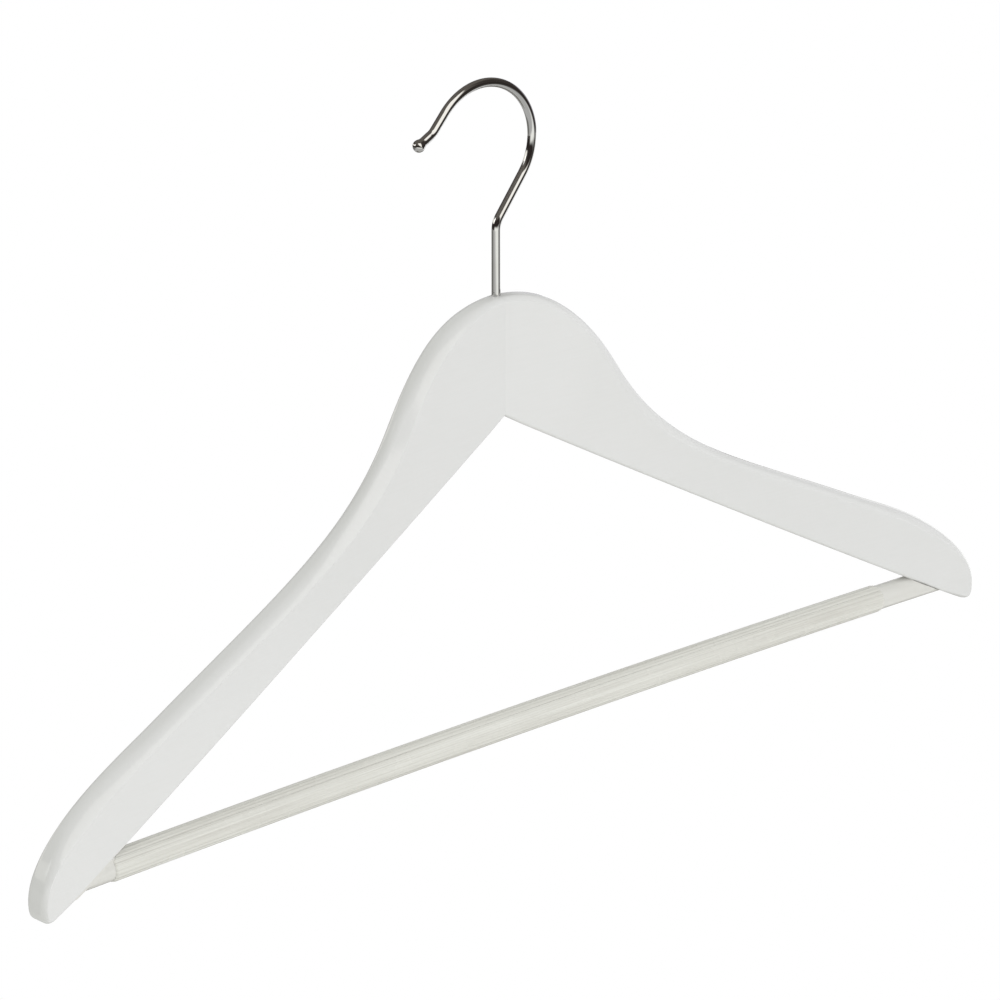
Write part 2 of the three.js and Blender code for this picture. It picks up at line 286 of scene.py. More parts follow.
def cut(piece: Piece, tool: Piece) -> None:
    """Cuts the tool's shape out of the piece, then deletes the tool.

    Args:
        piece: piece to cut.
        tool: closed mesh.
    """
    modifier = piece.modifiers.new("cut", "BOOLEAN")
    modifier.operation = "DIFFERENCE"
    modifier.solver = "EXACT"
    modifier.object = tool
    graph = bpy.context.evaluated_depsgraph_get()
    result = bpy.data.meshes.new_from_object(piece.evaluated_get(graph))
    piece.modifiers.clear()
    piece.data = result
    shade(result, outward=False)
    bpy.data.objects.remove(tool)


# Finishes


@dataclass(frozen=True)
class WhiteLacquer:
    """Sprayed white satin lacquer on sanded wood: an even, slightly cool white with a soft sheen.

    The eye sees a very fine orange peel, faint long pores of the wood below, and a slow drift of
    tone.
    """

    name: str = "white_satin_lacquer_on_wood"
    pale: str = "#E9E9EA"
    shade: str = "#E1E1E1"
    roughness: Pair = (0.03, 0.06)
    ior: float = 1.5
    pore_width: float = 0.9  # mm; real pores of 0.2 mm wouldn't show
    pore_stretch: float = 0.055  # width of a pore over its length
    pore_share: float = 0.45  # of the change of tone; the drift gives the rest
    drift: float = 46.0  # mm, size of the slow changes of tone
    peel: float = 1.7  # mm, between the hills of the sprayed coat
    peel_height: float = 0.014  # mm
    pore_height: float = 0.01  # mm

    def material(self) -> Material:
        """Builds the node material.

        Returns:
            The material.
        """
        material, tree = new_material(self.name)
        place = add_node(tree, "ShaderNodeTexCoord").outputs["Object"]
        grain = drawn_out(tree, self.pore_stretch)
        pores = noise(tree, grain, self.pore_width, detail=3.0, roughness=0.6)
        drift = noise(tree, place, self.drift, detail=2.0)
        peel = noise(tree, place, self.peel, detail=1.0)
        tone = calc(tree, "MULTIPLY", pores, self.pore_share)
        tone = calc(tree, "MULTIPLY_ADD", drift, 1 - self.pore_share, tone)
        hills = bump(tree, peel, self.peel_height)
        coat(tree, {
            "Base Color": mix_colours(tree, tone, self.pale, self.shade),
            "Roughness": spread(tree, drift, MOST_NOISE, self.roughness),
            "IOR": self.ior,
            "Normal": bump(tree, pores, self.pore_height, Normal=hills),
        })
        return material


@dataclass(frozen=True)
class ChromePlate:
    """Bright chrome plating on drawn steel wire: a near mirror with faint lines along the wire."""

    name: str = "bright_chrome_on_drawn_wire"
    metal: str = "#DBDCDD"
    thin: str = "#CFCDCA"
    roughness: Pair = (0.035, 0.075)
    line_width: float = 0.25  # mm round the wire; real drawing lines of 0.02 mm wouldn't show
    line_stretch: float = 0.03
    cloud: float = 7.0  # mm, size of the slow changes in the plating

    def material(self) -> Material:
        """Builds the node material.

        Returns:
            The material.
        """
        material, tree = new_material(self.name)
        lines = noise(tree, drawn_out(tree, self.line_stretch), self.line_width, detail=2.0)
        cloud = noise(tree, grain_place(tree), self.cloud, detail=3.0)
        coat(tree, {
            "Base Color": mix_colours(tree, cloud, self.metal, self.thin),
            "Metallic": 1.0,
            "Roughness": spread(tree, lines, MOST_NOISE, self.roughness),
        })
        return material


@dataclass(frozen=True)
class ClearVinyl:
    """Extruded clear soft PVC over white wood: faintly yellow, with die lines whose darker streaks
    also paint the light that the ribs refract, and a wet sheen.
    """

    name: str = "clear_soft_pvc_extruded"
    pale: str = "#EBEBE6"
    shade: str = "#D2D0CA"
    roughness: Pair = (0.18, 0.32)
    ior: float = 1.53
    line_width: float = 0.55  # mm round the tube; real die lines of 0.05 mm wouldn't show
    line_stretch: float = 0.006
    line_range: Pair = (0.32, 0.68)  # of the pattern, from pale to shade: die lines and painted refraction streaks
    line_height: float = 0.02  # mm
    haze: float = 16.0  # mm, size of the hazy patches

    def material(self) -> Material:
        """Builds the node material.

        Returns:
            The material.
        """
        material, tree = new_material(self.name)
        grain = drawn_out(tree, self.line_stretch)
        lines = noise(tree, grain, self.line_width, detail=4.0, roughness=0.65)
        haze = noise(tree, grain_place(tree), self.haze, detail=3.0)
        # Streaks of tone along the tube: partly real die lines, partly painted light refracted by
        # the ribs.
        die_lines_and_painted_refraction = spread(tree, lines, self.line_range)
        coat(tree, {
            "Base Color": mix_colours(tree, die_lines_and_painted_refraction, self.pale, self.shade),
            "Roughness": spread(tree, haze, MOST_NOISE, self.roughness),
            "IOR": self.ior,
            "Normal": bump(tree, lines, self.line_height),
        })
        return material


# Sizes that several pieces share


@dataclass(frozen=True)
class Station:
    """A place on the upper outline of an arm.

    Depth is the wood above the underside there, fall the slope in degrees, and the pulls are the
    reach of the curve's handles towards the crown and towards the tip.
    """

    along: float
    depth: float
    fall: float
    pull_in: float
    pull_out: float


@dataclass(frozen=True)
class Layout:
    """Driving sizes of the body and the bar's place, in millimetres and degrees from the notch."""

    width: float = 450.0
    turn_deg: float = 6.3
    thickness: float = 10.36  # a hair under the solid, whose front corners are rounder at the tips
    crown_height: float = 45.0
    crown_reach: float = 30.3
    underside_fall_deg: float = 30.0
    underside_radius: float = 6000.0
    neck: Station = Station(53.9, 36.7, 58.2, 16.0, 40.0)
    shoulder: Station = Station(167.0, 25.6, 26.3, 66.8, 18.0)
    nose_rise: float = 8.4
    nose_pull: float = 23.7
    tip_round: float = 6.6
    bar_inset: float = 23.3
    bar_bow: float = 2.0
    tenon_end_wood: float = 12.0
    rail_height: float = 122.53  # from the notch to the inside of the bow
    reach_rounds: int = 6  # until the bow and the arm's slope agree on where the bar ends

    @property
    def turn(self) -> float:
        """Angle that each half is turned forward."""
        return math.radians(self.turn_deg)

    @property
    def arm_length(self) -> float:
        """Length of a half along its own middle."""
        return self.width / 2 / math.cos(self.turn)

    @property
    def bar_along(self) -> float:
        """Place along an arm where the bar's middle line meets the underside."""
        return self.arm_length - self.bar_inset

    @property
    def bar_up(self) -> float:
        """Height of the bar's middle line at its ends."""
        return self.underside_up(self.bar_along)

    @property
    def tenon_length(self) -> float:
        """Length of the bar's thin end inside an arm."""
        return self.bar_inset - self.tenon_end_wood

    @property
    def bar_ahead(self) -> float:
        """Distance of the bar's middle line in front of the hook's plane."""
        return (self.bar_along + self.tenon_length / 2) * math.sin(self.turn)

    @property
    def bar_end(self) -> float:
        """Distance from the middle to where the bar's middle line meets an arm."""
        return self.bar_along * math.cos(self.turn)

    def underside_up(self, along: float) -> float:
        """Height of an arm's underside."""
        fall = math.tan(math.radians(self.underside_fall_deg))
        return -along * fall + along**2 / (2 * self.underside_radius)

    def underside_slope(self, along: float) -> float:
        """Slope of an arm's underside."""
        return -math.tan(math.radians(self.underside_fall_deg)) + along / self.underside_radius

    def upper(self, station: Station, pull: float = 0.0) -> Vector:
        """Finds a station of the upper outline, or the end of a handle of its curve.

        Args:
            station: the station.
            pull: reach of the handle, which is positive towards the tip.

        Returns:
            Place along the arm and height.
        """
        fall = math.radians(station.fall)
        up = self.underside_up(station.along) + station.depth
        return Vector((station.along + pull * math.cos(fall), up - pull * math.sin(fall)))

    def bow(self, x: float) -> float:
        """Rise of the bar's bow at a distance from the middle."""
        return self.bar_bow * (1 - (x / self.bar_end) ** 2)

    def place(self, x: float, y: float, z: float) -> Vector:
        """Turns millimetres from the notch into metres from the rail."""
        return Vector((x, y, z - self.rail_height)) * MM

    def in_arm(self, side: Side, along: float, ahead: float, up: float) -> Vector:
        """Turns a place in an arm's own directions into metres from the rail.

        Args:
            side: which half.
            along: distance from the centre line towards the tip.
            ahead: distance in front of the arm's middle.
            up: height over the notch.

        Returns:
            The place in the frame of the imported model.
        """
        x = side.value * (along * math.cos(self.turn) - ahead * math.sin(self.turn))
        y = -along * math.sin(self.turn) - ahead * math.cos(self.turn)
        return self.place(x, y, up)

    def bar_reach(self, angle: float, radius: float, gap: float) -> float:
        """Finds where a line along the bar comes up against an arm.

        Args:
            angle: place round the bar, from the front upwards.
            radius: distance from the bar's middle line.
            gap: room left under the arm.

        Returns:
            Distance from the middle of the hanger.
        """
        y = -self.bar_ahead - radius * math.cos(angle)
        slope = self.underside_slope(self.bar_along)
        drop = gap * math.hypot(1.0, slope)
        reach = self.bar_end
        for _ in range(self.reach_rounds):
            rise = self.bow(reach) + radius * math.sin(angle) + drop
            along = rise / slope + self.bar_along
            reach = (along + y * math.sin(self.turn)) / math.cos(self.turn)
        return reach


# Sub-assemblies


@dataclass(frozen=True)
class EdgeForm:
    """Shape of an arm's upper edge at a place along it.

    Drop is how far its flat top lies under the outline, front and back are the radii of its
    corners, and facet is the width of the flat between the front rounding and its ridge.
    """

    along: float
    drop: float
    front: float
    back: float
    facet: float = 0.0


@dataclass(frozen=True)
class RimPoint:
    """A point of an arm's outline, the way out of the wood and its share of the upper form."""

    along: float
    up: float
    out: Pair
    rolling: float


@dataclass
class Arm:
    """One half of the body: a board with a waved outline and an upper edge that is rounded over."""

    layout: Layout
    side: Side
    under_corner: float = 1.1  # rounding of both corners of the underside
    edge_forms: tuple[EdgeForm, ...] = (
        EdgeForm(0.0, -0.1, 3.6, 5.0),
        EdgeForm(30.0, -0.2, 7.2, 3.0),
        EdgeForm(56.0, -0.7, 3.2, 4.8, 4.0),
        EdgeForm(110.0, 0.4, 6.5, 2.8),
        EdgeForm(170.0, 0.4, 6.7, 2.6),
        EdgeForm(205.0, -0.1, 9.3, 2.8),
        EdgeForm(227.0, 0.24, 3.4, 2.8),
    )
    ridge_deg: float = 40.0  # where the front rounding breaks off, short of running into the face
    ridge_radius: float = 0.3
    run_out: float = 22.0  # of the rounding past the point of the nose
    joint_gap: float = 0.012  # glue line, closed by the lacquer in front
    back_joint_gap: float = 0.31
    face_border: float = 0.6  # flat strip inside the rounded corner
    curve_steps: int = 44
    under_spread: float = 1.6  # power that draws the underside's points together at the tip
    tip_steps: int = 16
    ridge_steps: int = 4
    corner_steps: int = 9
    top_steps: int = 4
    bore_radius: float = 1.73
    bore_depth: float = 8.0
    thread_bore_radius: float = 2.3
    thread_bore_from: float = 18.0
    thread_bore_to: float = 38.5
    socket_radius: float = 3.1
    socket_spare: float = 0.4
    tool_sides: int = 40

    def upper_edge(self) -> list[Vector]:
        """Samples the upper edge from the middle of the crown to the upright of the nose.

        Returns:
            Places along the arm and heights.
        """
        lay = self.layout
        neck, shoulder = lay.neck, lay.shoulder
        top = Vector((0.0, lay.crown_height))
        nose = Vector((lay.arm_length, lay.underside_up(lay.arm_length) + lay.nose_rise))
        ends = (top, lay.upper(neck), lay.upper(shoulder), nose)
        handles = (
            (top + Vector((lay.crown_reach, 0.0)), lay.upper(neck, -neck.pull_in)),
            (lay.upper(neck, neck.pull_out), lay.upper(shoulder, -shoulder.pull_in)),
            (lay.upper(shoulder, shoulder.pull_out), nose + Vector((0.0, lay.nose_pull))),
        )
        points = [top]
        for a, (b, c), d in zip(ends, handles, ends[1:]):
            for i in range(1, self.curve_steps + 1):
                t = i / self.curve_steps
                s = 1 - t
                points.append(a * s**3 + b * 3 * s * s * t + c * 3 * s * t * t + d * t**3)
        return points

    def lower_edge(self, nose: Vector) -> tuple[list[Vector], list[Vector]]:
        """Samples the rounded corner under the nose and the underside.

        Args:
            nose: last point of the upper edge.

        Returns:
            Points of the corner, then points of the underside back to the notch.
        """
        lay = self.layout
        start = lay.arm_length - lay.tip_round
        handle = Vector((lay.arm_length, lay.underside_up(lay.arm_length)))
        end = Vector((start, lay.underside_up(start)))
        corner = []
        for i in range(1, self.tip_steps + 1):
            t = i / self.tip_steps
            corner.append(nose * (1 - t) ** 2 + handle * 2 * t * (1 - t) + end * t * t)
        steps = range(1, self.curve_steps + 1)
        stops = [start * (1 - (i / self.curve_steps) ** self.under_spread) for i in steps]
        return corner, [Vector((s, lay.underside_up(s))) for s in stops]

    def outline(self) -> list[RimPoint]:
        """Follows the outline from the crown round the tip to the notch.

        Returns:
            Its points.
        """
        upper = self.upper_edge()
        corner, under = self.lower_edge(upper[-1])
        points = upper + corner + under
        past_nose = 0.0
        rim = []
        for i, point in enumerate(points):
            before, after = points[max(i - 1, 0)], points[min(i + 1, len(points) - 1)]
            out = Vector((before.y - after.y, after.x - before.x)).normalized()
            if i in (0, len(points) - 1):
                out = Vector((0.0, math.copysign(1.0, out.y)))
            if i >= len(upper):
                past_nose += (point - before).length
            rolling = ease(1 - past_nose / self.run_out)
            rim.append(RimPoint(point.x, point.y, (out.x, out.y), rolling))
        return rim

    def edge_form(self, along: float) -> EdgeForm:
        """Blends the sanding of the upper edge between the places where it is given.

        Args:
            along: place along the arm.

        Returns:
            The form there.
        """
        for first, last in zip(self.edge_forms, self.edge_forms[1:]):
            if along <= last.along:
                break
        share = ease((along - first.along) / (last.along - first.along))
        sizes = (
            getattr(first, name) * (1 - share) + getattr(last, name) * share
            for name in ("drop", "front", "back", "facet")
        )
        return EdgeForm(along, *sizes)

    def section(self, spot: RimPoint) -> list[Pair]:
        """Lists the rim's rows at a point of the outline, from front to back.

        Args:
            spot: the point.

        Returns:
            Place ahead of the middle and how far the row is drawn in, for each row.
        """
        half = self.layout.thickness / 2
        form = self.edge_form(spot.along)
        front, back, small = (
            self.under_corner + (radius - self.under_corner) * spot.rolling
            for radius in (form.front, form.back, self.ridge_radius)
        )
        ridge = math.radians(self.ridge_deg)
        rest = math.pi / 2 - ridge
        facet = form.facet * spot.rolling
        turns = [ridge * i / self.ridge_steps for i in range(self.ridge_steps)]
        turns += [ridge + rest * i / self.corner_steps for i in range(self.corner_steps + 1)]
        rows = []
        for turn in turns:
            near, far = min(turn, ridge), max(turn, ridge)
            depth = small * (1 - math.cos(near)) + front * (math.cos(ridge) - math.cos(far))
            inset = small * (math.sin(ridge) - math.sin(near)) + front * (1 - math.sin(far))
            if turn < ridge:
                inset += facet * math.cos(ridge)
            else:
                depth += facet * math.sin(ridge)
            rows.append((half - depth, inset))
        rows.insert(0, (half, rows[0][1] + self.face_border))
        first, last = rows[-1][0], back - half
        top = range(1, self.top_steps)
        rows += [(first + (last - first) * i / self.top_steps, 0.0) for i in top]
        for turn in reversed(turns):
            rows.append((back * (1 - math.cos(turn)) - half, back * (1 - math.sin(turn))))
        rows.append((-half, back + self.face_border))
        return [(ahead, inset + form.drop * spot.rolling) for ahead, inset in rows]

    def build(self) -> Piece:
        """Builds the half, with its bores.

        Returns:
            The piece.
        """
        lay = self.layout
        half = lay.thickness / 2
        rim = self.outline()
        rings = []
        for row in zip(*(self.section(spot) for spot in rim)):
            ring = []
            for i, (spot, (ahead, inset)) in enumerate(zip(rim, row)):
                along = spot.along - spot.out[0] * inset
                up = spot.up - spot.out[1] * inset
                if i in (0, len(rim) - 1):
                    behind = (half - ahead) / lay.thickness
                    gap = self.joint_gap + (self.back_joint_gap - self.joint_gap) * behind
                    along = ahead * math.tan(lay.turn) + gap / 2
                place = lay.in_arm(self.side, along, ahead, up)
                ring.append((place, (along * MM, (up + ahead) * MM)))
            rings.append(ring)
        piece = make_piece(f"{self.side.name.lower()}_arm_lacquered", rings)
        for tool in self.tools():
            cut(piece, tool)
        return piece

    def tools(self) -> list[Piece]:
        """Builds the tools for the hook's bore, its wider threaded part and the bar's socket.

        Returns:
            Round rods.
        """
        lay = self.layout
        low, high = lay.crown_height - self.bore_depth, lay.crown_height + self.bore_radius
        inner = lay.bar_end - 2 * self.socket_radius
        outer = lay.bar_end + lay.tenon_length + self.socket_spare
        rods = [
            (self.bore_radius, [(0.0, 0.0, z) for z in (low, high)]),
            (
                self.thread_bore_radius,
                [(0.0, 0.0, z) for z in (self.thread_bore_from, self.thread_bore_to)],
            ),
            (
                self.socket_radius,
                [(self.side.value * x, -lay.bar_ahead, lay.bar_up) for x in (inner, outer)],
            ),
        ]
        return [self.round_tool([lay.place(*end) for end in ends], radius) for radius, ends in rods]

    def round_tool(self, ends: Sequence[Vector], radius: float) -> Piece:
        """Builds a round rod to cut with.

        Args:
            ends: middles of its two ends, in metres.
            radius: radius in millimetres.

        Returns:
            The rod.
        """
        way = (ends[1] - ends[0]).normalized()
        across = way.orthogonal().normalized()
        rings: list[list[Corner]] = [[], []]
        for turn in round_turns(self.tool_sides):
            arm = across * math.cos(turn) + way.cross(across) * math.sin(turn)
            for end, ring in zip(ends, rings):
                ring.append((end + arm * radius * MM, (0.0, turn * radius * MM)))
        return make_piece("round_tool", rings)


@dataclass(frozen=True)
class JointFill:
    """Lacquer in the corner between the bar and an arm.

    Height is over the bar's surface, length runs along the bar, climb is how far the fill covers
    the arm's rounded corner, and flush is its share of the way from the round bar to the arm's
    front face.
    """

    height: float
    length: float
    climb: float = 0.0
    flush: float = 0.0


@dataclass
class TrouserBar:
    """Round wooden bar, slightly bowed, its ends cut to the slope of the arms, with tenons."""

    layout: Layout
    radius: float = 4.8
    tenon_radius: float = 3.0
    gap: float = 0.02  # closed by glue and lacquer
    left_fill: JointFill = JointFill(height=0.3, length=4.0, climb=2.1, flush=1.0)
    right_fill: JointFill = JointFill(height=0.35, length=1.6)
    fill_steps: int = 8
    flush_length: float = 7.0  # where the bar is sanded flush with the front of the arm
    flush_under: float = 0.03
    flush_from: float = 0.15  # cosine of the turn from the front where the flush fill starts
    flush_by: float = 0.6  # and where it is full
    sides: int = 96
    steps: int = 48

    def across(self, out: float, reach: float, filled: float) -> float:
        """Finds the place across the hanger of a point of the bar's skin.

        Args:
            out: distance from the middle of the hanger.
            reach: distance in front of the bar's middle line.
            filled: share of the fill of the joint there.

        Returns:
            The place, no further forward near an arm than just under its front face.
        """
        lay = self.layout
        front = lay.thickness / 2 / math.cos(lay.turn)
        face = -out * math.tan(lay.turn) - front + self.flush_under
        left = max(lay.bar_end - out, 0.0) / self.flush_length
        y = max(-lay.bar_ahead - reach, face - left * left * self.radius)
        share = (reach / self.radius - self.flush_from) / (self.flush_by - self.flush_from)
        return y + (face - y) * filled * ease(share)

    def end(self, fill: JointFill, turns: Sequence[float]) -> list[BarRing]:
        """Lists the rings of one end, from the bare bar to the tip of the tenon.

        Args:
            fill: lacquer in the joint.
            turns: angles of the corners round the bar.

        Returns:
            The rings, with places as distances from the middle of the hanger.
        """
        lay = self.layout
        root = [lay.bar_reach(turn, self.tenon_radius, self.gap) for turn in turns]
        tip = [lay.bar_end + lay.tenon_length] * self.sides
        rings: list[BarRing] = []
        for step in range(self.fill_steps + 1):
            share = math.sin(math.pi / 2 * step / self.fill_steps)
            radius = self.radius + fill.height * (1 - math.sqrt(1 - share * share))
            joint = [lay.bar_reach(turn, radius, self.gap) for turn in turns]
            stops = [x - fill.length * (1 - share) for x in joint]
            rings.append((radius, fill.flush * share**2, stops))
        if fill.climb:
            rings.append((radius, fill.flush, [x + fill.climb for x in joint]))
        return rings + [(self.tenon_radius, 0.0, root), (self.tenon_radius, 0.0, tip)]

    def build(self) -> Piece:
        """Builds the bar from tenon to tenon.

        Returns:
            The piece.
        """
        lay = self.layout
        turns = round_turns(self.sides)
        left, right = (self.end(fill, turns) for fill in (self.left_fill, self.right_fill))
        rings = [(radius, filled, [-x for x in stops]) for radius, filled, stops in reversed(left)]
        starts, stops = rings[-1][2], right[0][2]
        for step in range(1, self.steps):
            share = step / self.steps
            rings.append((self.radius, 0.0, [a + (b - a) * share for a, b in zip(starts, stops)]))
        rings += right
        skin = []
        for number, (radius, filled, places) in enumerate(rings):
            at_end = number in (0, len(rings) - 1)
            ring = []
            for turn, x in zip(turns, places):
                rise = lay.bow(math.copysign(lay.bar_end, x) if at_end else x)
                z = lay.bar_up + rise + radius * math.sin(turn)
                y = self.across(abs(x), radius * math.cos(turn), filled)
                ring.append((lay.place(x, y, z), (x * MM, abs(turn - math.pi) * radius * MM)))
            skin.append(ring)
        return make_piece("trouser_bar_lacquered", skin)


@dataclass
class BarSleeve:
    """Split tube of clear PVC pushed over the bar, with ribs along it and one open slit."""

    layout: Layout
    bar_radius: float = 4.8
    fit: float = 0.005
    wall: float = 0.545
    bare_left: float = 8.8
    bare_right: float = 26.3
    ribs: int = 20
    rib_steps: int = 12
    rib_height: float = 0.14
    slit_width: float = 0.1
    slit_deg: float = 56.0  # up from the front
    gap: float = 0.3
    rim: float = 1.0  # length over which the soft cut ends are pressed down on the bar
    rim_edge: float = 0.02  # what is left of the wall at the very end
    rim_steps: int = 6
    steps: int = 60

    @property
    def inner(self) -> float:
        """Radius of the inside."""
        return self.bar_radius + self.fit

    def section(self) -> list[Pair]:
        """Follows the cut section along the outside and then back along the inside.

        Returns:
            Radius and angle of each corner.
        """
        outer = self.inner + self.wall
        slit = self.slit_width / outer
        start = math.radians(self.slit_deg) + slit / 2
        count = self.ribs * self.rib_steps
        outside, inside = [], []
        for i in range(count + 1):
            angle = start + (2 * math.pi - slit) * i / count
            wave = (1 - math.cos(2 * math.pi * i / self.rib_steps)) / 2
            outside.append((outer - self.rib_height * (1 - wave), angle))
            inside.append((self.inner, angle))
        return outside + inside[::-1]

    def rows(self) -> list[tuple[float, float, float]]:
        """Lists the rows along the sleeve.

        Returns:
            Share of the length, distance added to it, and how far the outside is pressed in there.
        """
        pressed = self.wall - self.rib_height - self.rim_edge
        shares = [i / self.rim_steps for i in range(self.rim_steps + 1)]
        rim = [(self.rim * share, pressed * (1 - share) ** 2) for share in shares]
        rows = [(0.0, inward, inset) for inward, inset in rim]
        rows += [(step / self.steps, 0.0, 0.0) for step in range(1, self.steps)]
        return rows + [(1.0, -inward, inset) for inward, inset in reversed(rim)]

    def build(self) -> Piece:
        """Builds the sleeve, clipped clear of the arms.

        Returns:
            The piece.
        """
        lay = self.layout
        section = self.section()
        left, right = [], []
        for radius, angle in section:
            clear = lay.bar_reach(angle, radius, self.gap)
            left.append(-min(lay.bar_end - self.bare_left, clear))
            right.append(min(lay.bar_end - self.bare_right, clear))
        rings = []
        for share, inward, inset in self.rows():
            ring = []
            for (radius, angle), x_left, x_right in zip(section, left, right):
                x = x_left + (x_right - x_left) * share + inward
                far = radius - inset if radius > self.inner else radius
                y = -lay.bar_ahead - far * math.cos(angle)
                z = lay.bar_up + lay.bow(x) + far * math.sin(angle)
                ring.append((lay.place(x, y, z), (x * MM, angle * radius * MM)))
            rings.append(ring)
        return make_piece("bar_sleeve_ribbed", rings)


@dataclass
class Hook:
    """One bent wire: thread and collar in the wood, shank, knee, leg, bow, flared tip and ball."""

    layout: Layout
    wire_radius: float = 1.649
    knee_rise: float = 27.2
    knee_radius: float = 8.0
    bow_radius: float = 23.0
    bow_rise: float = 29.9
    bow_offset: float = 6.2
    bow_end_deg: float = 139.0
    bow_runout: float = 7.0  # straight wire between the bow and the flare
    flare_radius: float = 6.0
    flare_turn_deg: float = 20.0
    flare_length: float = 6.1
    ball_radius: float = 2.3
    ball_fillet: float = 0.5
    end_radius: float = 0.001  # of the last ring of the ball
    shank_depth: float = 25.0
    thread_length: float = 15.0
    thread_pitch: float = 1.5
    thread_crest: float = 2.2
    thread_root: float = 1.6
    thread_runout: float = 1.0
    collar_length: float = 1.2
    sides: int = 48
    arc_step_deg: float = 1.5
    ball_steps: int = 28

    @property
    def knee_up(self) -> float:
        """Height of the knee over the notch."""
        return self.layout.crown_height + self.knee_rise

    def arc(
        self, middle: Vector, radius: float, start: float, end: float
    ) -> list[tuple[Vector, Vector]]:
        """Samples an arc in the hook's plane.

        Args:
            middle: centre of the arc.
            radius: its radius.
            start: first angle, up from +X.
            end: last angle.

        Returns:
            Points with their directions.
        """
        steps = max(2, math.ceil(abs(end - start) / math.radians(self.arc_step_deg)))
        way = math.copysign(1.0, end - start)
        out = []
        for i in range(steps + 1):
            angle = start + (end - start) * i / steps
            across = Vector((math.cos(angle), math.sin(angle)))
            out.append((middle + across * radius, Vector((-across.y, across.x)) * way))
        return out

    def stem(self) -> list[Pair]:
        """Follows the hidden end: thread ridges, runout and collar.

        Returns:
            Heights and radii.
        """
        bottom = self.layout.crown_height - self.shank_depth
        turns = round(self.thread_length / self.thread_pitch)
        pitch = self.thread_length / turns
        rows = []
        for i in range(turns):
            rows.append((bottom + pitch * i, self.thread_root))
            rows.append((bottom + pitch * (i + 0.5), self.thread_crest))
        collar = bottom + self.thread_length + self.thread_runout
        rows += [(bottom + self.thread_length, self.thread_root), (collar, self.thread_root)]
        rows += [(collar, self.thread_crest), (collar + self.collar_length, self.thread_crest)]
        rows.append((collar + self.collar_length, self.wire_radius))
        return rows

    def bends(self) -> list[tuple[Vector, Vector]]:
        """Follows the visible wire through the knee, the bow and the flare.

        Returns:
            Points in the hook's plane with the wire's direction.
        """
        reach = math.hypot(self.bow_offset, self.bow_rise)
        lean = math.asin(self.bow_radius / reach) - math.atan2(self.bow_offset, self.bow_rise)
        trim = self.knee_radius * math.tan(lean / 2)
        knee = Vector((self.knee_radius, self.knee_up - trim))
        bends = self.arc(knee, self.knee_radius, math.pi, math.pi - lean)
        bow_middle = Vector((-self.bow_offset, self.knee_up + self.bow_rise))
        bow_end = math.radians(self.bow_end_deg)
        bends += self.arc(bow_middle, self.bow_radius, -lean, bow_end)
        leave, way = bends[-1]
        outward = Vector((math.cos(bow_end), math.sin(bow_end)))
        middle = leave + way * self.bow_runout + outward * self.flare_radius
        start = bow_end + math.pi
        end = start - math.radians(self.flare_turn_deg)
        return bends + self.arc(middle, self.flare_radius, start, end)

    def line(self) -> list[tuple[Vector, Vector, float]]:
        """Follows the wire from the thread to the end of the ball.

        Returns:
            Points in the hook's plane with the wire's direction and radius.
        """
        up = Vector((0.0, 1.0))
        bends = self.bends()
        rows = [(Vector((0.0, height)), up, radius) for height, radius in self.stem()]
        rows += [(point, way, self.wire_radius) for point, way in bends]
        tip, way = bends[-1]
        total = self.flare_length + self.ball_radius
        for i in range(1, self.ball_steps + 1):
            far = total * math.sin(math.pi / 2 * i / self.ball_steps)
            rows.append((tip + way * far, way, self.tip_radius(far)))
        return rows

    def tip_radius(self, far: float) -> float:
        """Gives the wire's radius past the flare, where it swells into the ball.

        Args:
            far: distance past the flare.

        Returns:
            The radius there, nearly nothing at the very end.
        """
        beyond = far - self.flare_length
        ball = math.sqrt(max(self.ball_radius**2 - beyond**2, self.end_radius**2))
        if beyond >= 0:
            return ball
        soft = self.ball_fillet * min(-beyond / self.ball_radius, 1.0)
        return (ball + self.wire_radius + math.hypot(ball - self.wire_radius, soft)) / 2

    def build(self) -> Piece:
        """Builds the wire as one closed mesh.

        Returns:
            The piece.
        """
        rows = self.line()
        turns = round_turns(self.sides)
        rings = []
        run = 0.0
        for (before, _, _), (point, way, radius) in zip(rows[:1] + rows, rows):
            run += (point - before).length
            across = Vector((-way.y, way.x))
            ring = []
            for turn in turns:
                flat = point + across * (radius * math.cos(turn))
                place = self.layout.place(flat.x, radius * math.sin(turn), flat.y)
                ring.append((place, (run * MM, abs(turn - math.pi) * self.wire_radius * MM)))
            rings.append(ring)
        return make_piece("hook_wire", rings)


# Studio


@dataclass
class PhotoCamera:
    """Camera at the photograph's place, solved from the hanger's edges."""

    azimuth_deg: float = 40.057  # to the left of the front
    elevation_deg: float = 21.48
    roll_deg: float = -0.04
    distance: float = 1.5715
    aim: tuple[float, float, float] = (-0.00644, -0.00979, -0.15211)
    focal_px: float = 4323.9
    image_px: float = 1000.0
    sensor_mm: float = 36.0

    def build(self) -> None:
        """Makes the camera and sets it as the scene's own."""
        azimuth = math.radians(self.azimuth_deg)
        ahead = -towards(-self.azimuth_deg, self.elevation_deg)
        right = Vector((math.cos(azimuth), -math.sin(azimuth), 0.0))
        up = right.cross(ahead)
        turn = Matrix((right, up, -ahead)).transposed().to_4x4()
        turn = turn @ Matrix.Rotation(math.radians(self.roll_deg), 4, "Z")
        data = bpy.data.cameras.new("photo_camera")
        data.sensor_fit = "HORIZONTAL"
        data.sensor_width = self.sensor_mm
        data.lens = self.focal_px / self.image_px * self.sensor_mm
        camera = bpy.data.objects.new("photo_camera", data)
        camera.matrix_world = Matrix.Translation(Vector(self.aim) - ahead * self.distance) @ turn
        bpy.context.scene.collection.objects.link(camera)
        bpy.context.scene.camera = camera


